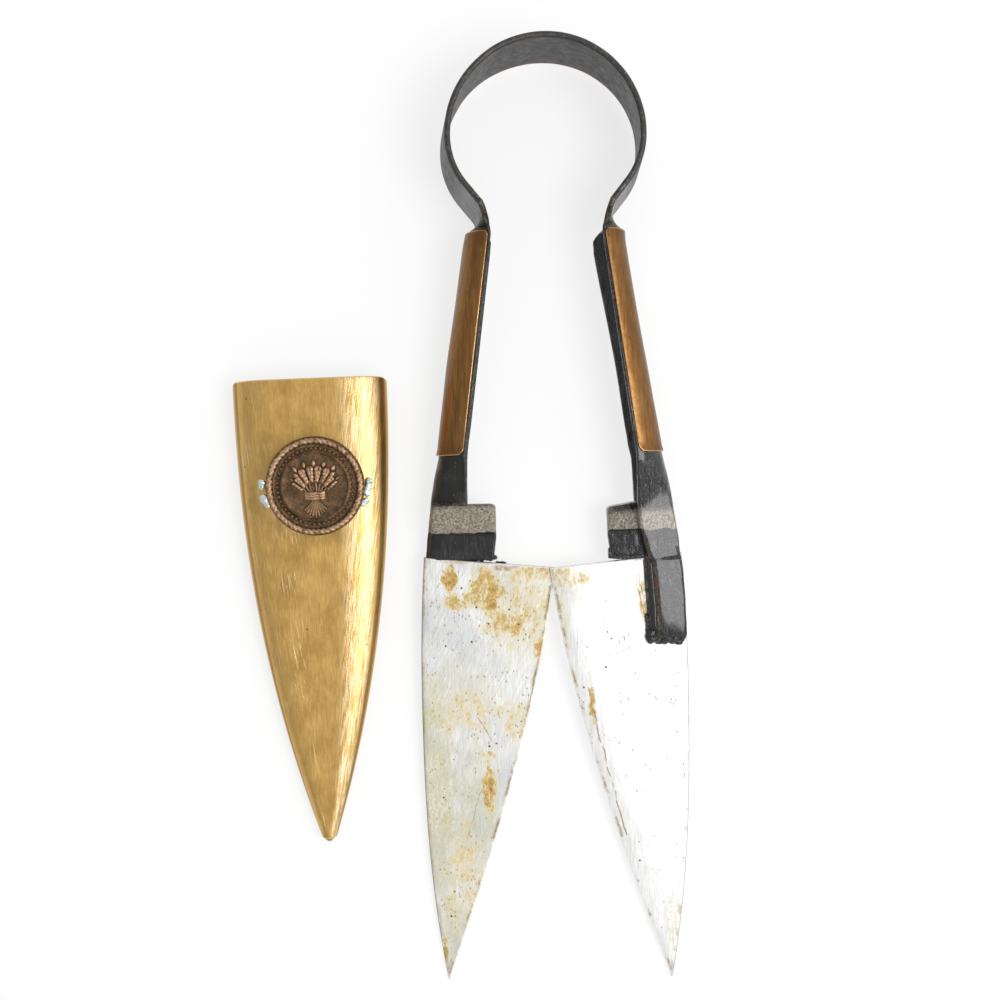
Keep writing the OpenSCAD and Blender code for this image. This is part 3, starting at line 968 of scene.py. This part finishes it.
# ---------------------------------------------------------------- lugs, blades, welds
def stop_lug(side, material):
    """A raised bar that meets its twin, stepping down to a plate beside the blade's heel.
    Its underside slopes with the shank's, so that side reads as one forging."""
    seed = 11.0 if side == "right" else 17.0
    wide = 0 if side == "right" else 10.2
    outer_x = monotone([0, 9.9, 17, 22], [k + wide for k in (32.4, 33.1, 33.8, 34.2)])
    slope = monotone([0, 4, 10.0, 11.2, 21], [6.2, 4.8, 1.8, 0.45, -0.10])
    slant = 1.9 if side == "right" else 0
    grid = []
    for y in sorted(set(steps(LUG_TOP, LUG_STEP - 1, 26) + steps(LUG_STEP + 0.35, LUG_STEP - 0.35, 6)
                        + steps(LUG_STEP - 1, LUG_END, 16)), reverse=True):
        from_top = LUG_TOP - y
        crown = lerp(1.8, LUG_BAR, ease(from_top, 0, 3.6))
        step = ease(y, LUG_STEP + 0.35, LUG_STEP - 0.35)
        row = []
        inner_x = LUG_X + max(corner_cut(LUG_CORNER, from_top), LUG_DRAW_BACK * (LUG_MEET - y))
        for k in steps(0, 1, 16 if side == "right" else 28):
            x = lerp(inner_x, outer_x(from_top), k)
            fall = 0.5 * ease(x, LUG_X + 3, LUG_X)
            high = lerp(crown - fall, PLATE_HIGH, step)
            low = -slope(from_top) + fall * (1 - step)
            low += 0.6 * ease(x, 40.5, 44) if wide else 0
            high = max(high, low + 1.2)
            lump = 0.10 * wobble((x, y, 0), 2.6, seed)
            down = slant * (1 - k) * ease(from_top, 12, 0)
            row.append((Vector((x, y - down, high + lump)), Vector((x, y - down, low + lump * 0.5))))
        grid.append(row)
    obj = sheet(side + "_stop_lug_plate", grid, ARMS[side])
    hand_in(obj, material, side + "_stop_lug", side + "_arm")


def blade_edge_x(s):
    return HEEL_X + 0.1 * s + 26.5 * (s / BLADE_LEN) ** 1.58


def blade_back_x(s):
    if s < 50:
        return BLADE_BACK - 2 * ((50 - s) / 50) ** 2
    return BLADE_BACK - 7.3 * ((s - 50) / 100) ** 2.6


def blade(side, material):
    """Flat inside, hollowed a little outside, thinned to a sharpened and slightly nicked edge."""
    seed = 23.0 if side == "right" else 29.0
    pick = random.Random(7 if side == "right" else 9)
    nicks = [(pick.uniform(4, 140), pick.uniform(0.3, 0.8), pick.uniform(0.1, 0.32))
             for _ in range(NICKS)]
    inset = (0, 0.25, 0.7, 1.5, 3, 5, 7.5)
    grid = []
    for s in steps(0, BLADE_LEN, 230):
        back = blade_back_x(s)
        nick = sum(d * math.exp(-((s - at) / w) ** 2) for at, w, d in nicks)
        edge = min(blade_edge_x(s) + nick + 0.05 * wobble((s, 0, 0), 1.6, seed), back - TIP_W)
        thick = BLADE_T - (BLADE_T - BLADE_TIP_T) * (s / BLADE_LEN) ** 2
        width = back - edge
        near = [edge + min(v, width * v / 12) for v in inset]
        row = []
        for x in near + steps(near[-1], back, 13)[1:]:
            run = clamp((x - edge) / min(HOLLOW_W, width * 0.7))
            top = lerp(HONED_T, thick, 1 - (1 - run) ** 2.4)
            y = HEEL_Y - s + HEEL_RISE * (1 - s / BLADE_LEN) * (x - edge) / width
            ripple = 0.035 * wobble((x, y, 0), 9, seed) * run
            row.append((Vector((x, y, BLADE_Z + top + ripple)), Vector((x, y, BLADE_Z - ripple))))
        grid.append(row)
    obj = sheet(side + "_blade_plate", grid, ARMS[side], angle=28)
    hand_in(obj, material, side + "_blade", side + "_arm")


def tang_weld(side, material):
    """The lumpy end of the tang, melted onto the blade."""
    pick = random.Random(41)
    centres = []
    for row, (y, low, high) in enumerate(((0.6, 1.3, 1.9), (-0.7, 1.0, 1.7), (2.2, 0.9, 1.5))):
        for x in steps(33.8 + row * 0.5, 45.6, 12 - 3 * row):
            r = pick.uniform(low, high)
            at = (x, TANG_END + y + pick.uniform(-0.5, 0.5), TANG_Z + 0.5)
            centres.append((at, (r, r, pick.uniform(1.0, 2.1))))
    for y in steps(1.5, 8, 4):
        r = pick.uniform(0.7, 1.1)
        centres.append(((33.6 - 0.06 * y, TANG_END + y, TANG_Z + 0.2), (r, 1.3, 0.9)))
    obj = lumps(side + "_tang_bead", ARMS[side], centres, 0.28, 0.30, 6.0, (TANG_Z - 0.05, 9))
    hand_in(obj, material, side + "_tang_weld", side + "_arm")


def heel_weld(side, material):
    """The welded joint between the lug's plate and the blade's heel, with drips at its inner end."""
    pick = random.Random(53 if side == "right" else 59)
    centres = []
    for x in steps(LUG_X + 0.6, 32.6, 15):
        r = pick.uniform(0.8, 1.15)
        y = LUG_END + 0.5 + pick.uniform(-0.25, 0.25)
        centres.append(((x, y, 1.75), (0.9, r, 1.15 + pick.uniform(0, 0.3))))
    if side == "right":
        centres += [((20.4, -144.6, 1.6), (1.1, 2.0, 1.7)), ((21.2, -142.6, 2.0), (0.9, 1.2, 1.4))]
    else:
        centres += [((18.0, -148.3, 1.3), (1.9, 1.4, 0.9)), ((17.3, -149.3, 1.3), (2.0, 1.4, 0.9)),
                    ((16.4, -150.3, 1.2), (1.2, 1.0, 0.8)), ((19.6, -147.9, 1.4), (1.0, 1.1, 0.8))]
    inner_x = LUG_X + 0.1 if side == "right" else 14.0
    obj = lumps(side + "_heel_bead", ARMS[side], centres, 0.28, 0.2, 12.0, (0.25, 9), inner_x)
    hand_in(obj, material, side + "_heel_weld", side + "_arm")


# ---------------------------------------------------------------- sheath
def sheath_width(s):
    return SHEATH_HALF_W * (1 - (s / SHEATH_END) ** 2.2)


def sheath_thick(s):
    return SHEATH_HALF_T - SHEATH_THIN * s / SHEATH_LEN


def sheath_arch(s, inset, up, swell):
    """Half of the sheath's section, from its left side over the front (up = 1) to its right.
    The front is a pillow: nearly flat in the middle, and falling away over swell mm at its sides."""
    mid = sheath_thick(s)
    w, q = sheath_width(s) - inset, sheath_thick(s) - inset
    r = min(q, w - 0.2)
    ends = [math.pi - math.pi / 2 * i / 10 for i in range(11)]
    left = [(-(w - r) + r * math.cos(a), q * math.sin(a)) for a in ends]
    level = [(x, q) for x in steps(-(w - r), w - r, 18)[1:-1]]
    right = [(-x, z) for x, z in reversed(left)]
    points = []
    for x, z in left + level + right:
        fall = swell * clamp((abs(x) / w - 0.42) / 0.58) ** 2.2 * clamp(z / q)
        points.append(Vector((x, -s, mid + up * (z + 0.25 * clamp(swell) * clamp(z / q) - fall))))
    return points


def sheath_shell(part, up, material):
    """One of the two soldered halves; its front is a little crowned and dented."""
    grid = []
    for k in steps(0, 1, 120):
        s = SHEATH_LEN * k
        swell = SHEATH_SWELL * sheath_thick(s) / SHEATH_HALF_T if up > 0 else 0.0
        a_row = sheath_arch(s, 0, up, swell)
        b_row = sheath_arch(s, SHEATH_WALL, up, swell)
        row = []
        for a, b in zip(a_row, b_row):
            cut = corner_cut(SHEATH_CORNER, sheath_width(s) - abs(a.x)) * ease(s, 14, 0)
            if up > 0:
                dent = 0.10 * wobble((a.x, a.y, 0), 17, 3) + 0.05 * wobble((a.x, a.y, 0), 6, 9)
                a = a + Vector((0, 0, dent * clamp((a.z - sheath_thick(s)) / 3)))
                b = b + Vector((0, 0, dent * clamp((a.z - sheath_thick(s)) / 3)))
            shift = Vector((0, -cut, 0))
            row.append((a + shift, b + shift))
        grid.append(row)
    obj = sheet("sheath_shell_" + part, grid, SHEATH)
    hand_in(obj, material, "sheath_" + part, "sheath")


def sheath_tip(material):
    """The rounded brass nose that closes the sheath's tip."""
    start, end = SHEATH_LEN - 6, SHEATH_LEN + 1.6
    grid = []
    for k in steps(0, 1, 22):
        s = lerp(start, end, 1 - (1 - k) ** 1.7)
        shrink = math.sqrt(max(0.0, 1 - max(0, (s - SHEATH_LEN + 1.8) / 3.4) ** 2))
        w = (sheath_width(min(s, SHEATH_LEN)) - 0.25) * max(0.12, shrink)
        q = (sheath_thick(min(s, SHEATH_LEN)) - 0.25) * max(0.12, shrink)
        mid = sheath_thick(min(s, SHEATH_LEN))
        row = []
        for a in steps(math.pi * 0.97, math.pi * 0.03, 16):
            x, z = w * math.cos(a), q * math.sin(a)
            row.append((Vector((x, -s, mid + z)), Vector((x, -s, mid - z))))
        grid.append(row)
    obj = sheet("sheath_nose", grid, SHEATH, round_off=False)
    hand_in(obj, material, "sheath_tip_plug", "sheath")


# ---------------------------------------------------------------- medallion
def badge_matrix():
    """On the sloping front of the sheath at the medallion's centre, +Z out of the front."""
    slope = math.atan(2 * SHEATH_THIN / SHEATH_LEN)
    at = Matrix.Translation((BADGE_ASIDE, -BADGE_FROM_MOUTH, 2 * sheath_thick(BADGE_FROM_MOUTH)))
    return SHEATH @ at @ Matrix.Rotation(slope, 4, "X")


BADGE = badge_matrix()


def lathe(name, profile, segments, ripple=0.0):
    """A closed turned disc from (radius, z) points that start and end on the axis."""
    inside = profile[1:-1]
    points = [Vector((0, 0, profile[0][1])), Vector((0, 0, profile[-1][1]))]
    for a in turns(segments):
        for r, z in inside:
            lift = ripple * wobble((r * math.cos(a), r * math.sin(a), 0), 2.2, 4) if z > 0.4 else 0
            points.append(Vector((r * math.cos(a), r * math.sin(a), z + lift)))
    n = len(inside)
    faces = []
    for i in range(segments):
        a, b = 2 + i * n, 2 + (i + 1) % segments * n
        faces.append((0, a, b))
        faces.append((1, b + n - 1, a + n - 1))
        faces += [(a + j, a + j + 1, b + j + 1, b + j) for j in range(n - 1)]
    return new_object(name, points, faces, BADGE)


def loft(name, rings, tips=()):
    """A skin over rings of points, capped by two tips, or without them closed into a loop."""
    m, n = len(rings), len(rings[0])
    points = [p for ring in rings for p in ring] + list(tips)
    faces = [(i * n + k, i * n + (k + 1) % n, (i + 1) % m * n + (k + 1) % n, (i + 1) % m * n + k)
             for i in range(m - 1 if tips else m) for k in range(n)]
    if tips:
        faces += [(m * n, (k + 1) % n, k) for k in range(n)]
        faces += [(m * n + 1, (m - 1) * n + k, (m - 1) * n + (k + 1) % n) for k in range(n)]
    return new_object(name, points, faces, BADGE)


def turns(n):
    return [2 * math.pi * k / n for k in range(n)]


def tube(name, path, radii, around=8, squash=1.0, twist=None):
    """A closed tube along a path in the medallion's frame, flattened in z by squash."""
    rings = []
    for i, p in enumerate(path):
        ahead = path[min(i + 1, len(path) - 1)] - path[max(i - 1, 0)]
        side = Vector((ahead.y, -ahead.x, 0)).normalized()
        ring = []
        for a in turns(around):
            r = radii[i] * (twist(a, i) if twist else 1)
            ring.append(p + side * r * math.cos(a) + Vector((0, 0, squash * r * math.sin(a))))
        rings.append(ring)
    return loft(name, rings, (path[0], path[-1]))


def rope_ring(radius, thick, strands, z):
    """A closed rope of three strands round the medallion."""
    rings = []
    for t in turns(432):
        out = Vector((math.cos(t), math.sin(t), 0))
        ring = []
        for a in turns(16):
            r = thick * (0.72 + 0.28 * abs(math.cos(1.5 * a + strands * t / 2)) ** 0.7)
            ring.append(out * (radius + r * math.cos(a)) + Vector((0, 0, z + r * math.sin(a))))
        rings.append(ring)
    return loft("rope", rings)


def grain(centre, angle, length, width, height):
    """One ear's grain: a creased seed lying on the plate, pointing along angle."""
    turn = Matrix.Rotation(angle, 3, "Z")
    rings = []
    for t in steps(0, 1, 8):
        girth = math.sin(math.pi * clamp(0.06 + 0.88 * t)) ** 0.75
        ring = []
        for a in turns(10):
            crease = 1 - 0.22 * max(0.0, math.sin(a)) ** 8
            q = Vector((width * girth * math.cos(a), (t - 0.5) * length,
                        height * girth * math.sin(a) * crease))
            ring.append(centre + turn @ q)
        rings.append(ring)
    tips = [centre + turn @ Vector((0, end * length * 0.54, 0)) for end in (-1, 1)]
    return loft("grain", rings, tips)


def badge_plate(material):
    profile = [(0, 0.0), (16.8, 0.0), (BADGE_R, 0.25), (BADGE_R, 0.95), (17.2, 1.15), (15.1, 1.2),
               (14.7, 0.95), (14.2, 0.9), (12.6, 1.0), (12.2, 1.25), (11.8, 1.3), (11.4, 1.05),
               (10, 1.1), (7, 1.25), (4, 1.35), (0, 1.4)]
    obj = lathe("badge_disc", profile, 128, 0.16)
    hand_in(obj, material, "badge_plate", "sheath")


def badge_rim(material):
    """The rope border and the ring of beads inside it."""
    parts = [rope_ring(ROPE_R, ROPE_THICK, 54, 1.35)]
    for t in turns(50):
        centre = Vector((BEAD_RING_R * math.cos(t), BEAD_RING_R * math.sin(t), 1.2))
        parts.append(grain(centre, t, 1.35, 0.66, 0.75))
    obj = join("badge_rope", parts)
    hand_in(obj, material, "badge_rim", "sheath")


def wheat_ear(tie, base, angle, size):
    """Stalk, paired grains and a top grain, leaning at angle from straight up."""
    up = Matrix.Rotation(-angle, 3, "Z") @ Vector((0, 1, 0))
    side = Vector((up.y, -up.x, 0))
    bow = 0.6 * math.copysign(1, angle or 1)
    stalk = [tie.lerp(base, k) + side * math.sin(k * math.pi) * bow for k in steps(0, 1, 8)]
    parts = [tube("stalk", stalk, [0.50] * 9)]
    for row in range(4):
        at = base + up * row * 1.35 * size
        for flip in (-1, 1):
            turn = -angle - flip * 0.42
            parts.append(grain(at + side * flip * 0.92 * size, turn, 2.7 * size, 0.80 * size, 1.15))
    parts.append(grain(base + up * 6.0 * size, -angle, 2.8 * size, 0.74 * size, 1.1))
    return parts


def badge_sheaf(material):
    tie = Vector((0, SHEAF_TIE_Y, 1.6))
    parts = []
    for k, angle in enumerate((-52, -34, -17, 0, 17, 34, 52)):
        a = math.radians(angle)
        reach = 5.6 if abs(angle) < 40 else 5.0
        base = Vector((math.sin(a) * reach * 1.1, SHEAF_TIE_Y + math.cos(a) * reach,
                       1.65 + 0.15 * (k % 2)))
        parts += wheat_ear(tie, base, a, 0.98 if abs(angle) < 40 else 0.80)
    for angle in steps(-38, 38, 8):
        a = math.radians(angle)
        length = 7.4 - 0.03 * abs(angle)
        run = [length * k for k in steps(0, 1, 8)]
        path = [Vector((math.sin(a) * r * (0.6 + 0.4 * r / length),
                        SHEAF_TIE_Y - math.cos(a) * r, 1.6)) for r in run]
        parts.append(tube("stem", path, steps(0.46, 0.62, 8)))
    for y in (0.9, 0, -0.9):
        path = [Vector((x, SHEAF_TIE_Y + y + 0.011 * x * x, 2.4 - 0.5 * (x / 3.6) ** 4))
                for x in steps(-3.6, 3.6, 14)]
        parts.append(tube("tie", path, [0.60] * 15, 10, 0.9,
                          lambda a, i: 0.9 + 0.12 * math.cos(2 * a + i)))
    obj = join("badge_wheat", parts)
    hand_in(obj, material, "badge_sheaf", "sheath")


def badge_solder(material):
    """Blobs of solder squeezed out at the medallion's two sides."""
    pick = random.Random(71)
    centres = []
    for flip in (-1, 1):
        for _ in range(9):
            a = pick.uniform(-0.34, 0.16)
            r = BADGE_R + pick.uniform(-0.3, 1.6)
            size = pick.uniform(0.9, 1.7)
            centres.append(((flip * r * math.cos(a), r * math.sin(a) - 1, 0.15),
                            (size, size * 1.2, pick.uniform(0.5, 0.95))))
    obj = lumps("badge_solder_blobs", BADGE, centres, 0.26, 0.12, 21.0, (0.0, 3))
    hand_in(obj, material, "badge_solder", "sheath")


# ---------------------------------------------------------------- studio
FLOOR_GLOW = 0.74
FLOOR_REACH = 2.4       # in metres, as all of the studio's places and sizes
KEY_AT = (0.47, -0.12, 0.88)
KEY_AIM = (0.03, -0.02, 0)
KEY_SIZE = 0.50
KEY_POWER = 5.6
LEFT_WALL, RIGHT_WALL = 0.60, 1.30
OVERHEAD = 0.80
HORIZON = 0.95
CAMERA_OVER = (-18.2, -124.9, 0)   # in the shears' own millimetres
CAMERA_HEIGHT = 0.450
CAMERA_LENS = 44.37
CAMERA_TURN = -1.277


def floor():
    n = 24
    side = steps(-FLOOR_REACH, FLOOR_REACH, n)
    points = [Vector((x, y, 0)) for y in side for x in side]
    row = n + 1
    faces = [(i * row + j, i * row + j + 1, (i + 1) * row + j + 1, (i + 1) * row + j)
             for i in range(n) for j in range(n)]
    obj = new_object("studio_floor", [p / MM for p in points], faces, Matrix.Scale(MM, 4))
    obj.data.materials.append(floor_paper())


def key_light():
    data = bpy.data.lights.new("key", "AREA")
    data.shape = "DISK"
    data.size = KEY_SIZE
    data.energy = KEY_POWER
    light = link("key", data)
    light.location = KEY_AT
    light.rotation_euler = (Vector(KEY_AIM) - Vector(KEY_AT)).to_track_quat("-Z", "Y").to_euler()


def room():
    """A pale room: white overhead, a window wall to the right, a dim wall to the left, and a bright
    band at the horizon."""
    world = bpy.data.worlds.new("studio")
    world.use_nodes = True
    build = Patterns(world.node_tree)
    where = build.node("ShaderNodeTexCoord").outputs["Generated"]
    across, _, up = build.node("ShaderNodeSeparateXYZ", where).outputs
    wall = build.ramp(across, -0.55, 0.65, LEFT_WALL, RIGHT_WALL)
    above = build.ramp(up, 0.50, 0.86, wall, OVERHEAD)
    build.feed_named(world.node_tree.nodes["Background"], Color=(1, 1, 1),
                     Strength=build.ramp(up, 0.04, 0.16, HORIZON, above))
    bpy.context.scene.world = world
    bpy.context.scene.view_settings.view_transform = "Standard"


def camera():
    """Straight above the blades' heels, and a hair turned."""
    data = bpy.data.cameras.new("camera")
    data.sensor_width = 36
    data.lens = CAMERA_LENS
    cam = link("camera", data)
    over = RIGHT @ Vector(CAMERA_OVER)
    cam.location = (over.x, over.y, CAMERA_HEIGHT)
    cam.rotation_euler = (0, 0, math.radians(CAMERA_TURN))
    bpy.context.scene.camera = cam


# ---------------------------------------------------------------- assembly
LEFT_STAINS = ((37.0, -153, 3, 6, 1.05), (31, -161, 10, 4, 0.75), (23.5, -157, 8, 9, 0.95),
               (16, -169, 12, 7, 0.6), (9, -152, 12, 4, 0.5), (10, -165, 11, 14, 0.45),
               (4.5, -182, 3, 11, 0.75), (24.4, -229, 2.6, 10, 1.25), (24.0, -217, 2.8, 2.4, 0.8),
               (14, -205, 7, 12, 0.35), (31, -202, 13, 10, 0.35), (34, -262, 8, 24, 0.38),
               (41.6, -288, 1.2, 6, 1.0))
LEFT_HAZES = ((44, -232, 8, 52, 0.75), (36, -196, 16, 16, 0.35), (30, -240, 12, 34, 0.50),
              (12, -166, 16, 22, 0.4), (39, -282, 6, 18, 0.6))
LEFT_LINES = ((19.6, -149.2, 16.0, -149.5, 1.3), (28, -203, 21, -214, 0.22),
              (27, -230, 33, -248, 0.20), (11.0, -206, 3.0, -176, 0.40))
RIGHT_STAINS = ((4, -153, 9, 4, 0.5), (3, -170, 3, 12, 0.4), (13.3, -200, 1.5, 9, 0.9),
                (31.8, -161, 1.6, 9, 0.5))
RIGHT_HAZES = ((6, -156, 12, 8, 0.35), (42, -280, 4, 12, 0.5))
RIGHT_LINES = ((12.0, -194, 25.0, -248, 0.40), (29.3, -153.0, 32.4, -168, 0.30),
               (30.6, -152.6, 33.2, -166, 0.25), (20, -181, 27, -179, 0.22))
TANG_SCARS = ((36.6, -155.1, 1.2, 2.6), (33.3, -146, 1.4, 0.9), (31.4, -162, 0.8, 4.5))


def main():
    right_black = black_enamel("right_arm_enamel", (-131.3, -135.8), 0.16, TANG_SCARS)
    left_black = black_enamel("left_arm_enamel", (-128.6, -136.2))
    bead = black_enamel("weld_enamel", gloss=0.16)
    bow = bow_enamel()
    copper = grip_copper()
    steel = {"left": blade_steel("left_blade_steel", LEFT_STAINS, LEFT_HAZES, LEFT_LINES,
                                 (0.69, 0.69, 0.67), 1.0),
             "right": blade_steel("right_blade_steel", RIGHT_STAINS, RIGHT_HAZES, RIGHT_LINES,
                                  (0.86, 0.86, 0.855), 0.2)}
    arm = {"left": left_black, "right": right_black}
    for side in ("right", "left"):
        bow_half(side, bow)
        shank(side, arm[side])
        grip(side, copper)
        stop_lug(side, arm[side])
        blade(side, steel[side])
        tang_weld(side, bead)
        heel_weld(side, bead)
    brass = sheath_brass()
    sheath_shell("front", 1, brass)
    sheath_shell("back", -1, brass)
    sheath_tip(brass)
    bronze = badge_bronze()
    badge_plate(bronze)
    badge_rim(bronze)
    badge_sheaf(bronze)
    badge_solder(old_solder())
    floor()
    room()
    key_light()
    camera()


main()
